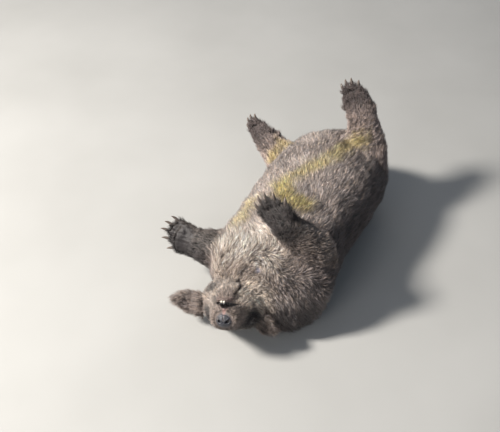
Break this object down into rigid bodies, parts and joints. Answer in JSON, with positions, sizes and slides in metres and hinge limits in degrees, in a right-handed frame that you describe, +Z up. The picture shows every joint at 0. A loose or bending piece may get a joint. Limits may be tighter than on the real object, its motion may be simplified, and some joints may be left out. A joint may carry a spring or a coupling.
{
  "type": "common wombat model",
  "caption": "Life-size still model of a bare-nosed wombat lying on its back, legs raised, with a broad head, short ears and strong digging claws.",
  "frame": {"origin": "centre of the underside of the whole model's box, on the floor that the back rests on", "axes": "-Y towards the nose, +Y towards the tail, +X towards the animal's right side, +Z up, out of the belly"},
  "size_m": [0.4914, 0.8414, 0.4118],
  "materials": {
    "body_coat": "short dense coat, grey brown, lighter on throat and belly, with a faded yellow spray mark",
    "foot_coat": "short dark coat with bare dark pads",
    "ear_coat": "short soft coat, barer inside the cup",
    "nose_skin": "bare pebbled skin, slightly moist",
    "tail_skin": "bare skin with sparse hair",
    "claw_horn": "dark worn horn with lengthwise streaks",
    "tooth_enamel": "ivory enamel, stained at the root",
    "eye": "wet dark brown eyeball"
  },
  "bodies": {
    "root": {"head": "body_coat", "lower_jaw": "body_coat", "nose_pad": "nose_skin", "incisor_lower_left": "tooth_enamel", "incisor_lower_right": "tooth_enamel", "eye_left": "eye", "ear_left": "ear_coat", "eye_right": "eye", "ear_right": "ear_coat", "neck": "body_coat", "chest": "body_coat", "belly": "body_coat", "rump": "body_coat", "tail": "tail_skin", "upper_arm_right": "body_coat", "forearm_right": "body_coat", "fore_claw_right_1": "claw_horn", "fore_claw_right_2": "claw_horn", "fore_claw_right_3": "claw_horn", "fore_claw_right_4": "claw_horn", "fore_claw_right_5": "claw_horn", "forepaw_right": "foot_coat", "upper_arm_left": "body_coat", "forearm_left": "body_coat", "fore_claw_left_1": "claw_horn", "fore_claw_left_2": "claw_horn", "fore_claw_left_3": "claw_horn", "fore_claw_left_4": "claw_horn", "fore_claw_left_5": "claw_horn", "forepaw_left": "foot_coat", "thigh_right": "body_coat", "shank_right": "body_coat", "hind_claw_right_2": "claw_horn", "hind_claw_right_3": "claw_horn", "hind_claw_right_4": "claw_horn", "hind_claw_right_5": "claw_horn", "hind_foot_right": "foot_coat", "thigh_left": "body_coat", "shank_left": "body_coat", "hind_claw_left_2": "claw_horn", "hind_claw_left_3": "claw_horn", "hind_claw_left_4": "claw_horn", "hind_claw_left_5": "claw_horn", "hind_foot_left": "foot_coat"}
  },
  "joints": []
}
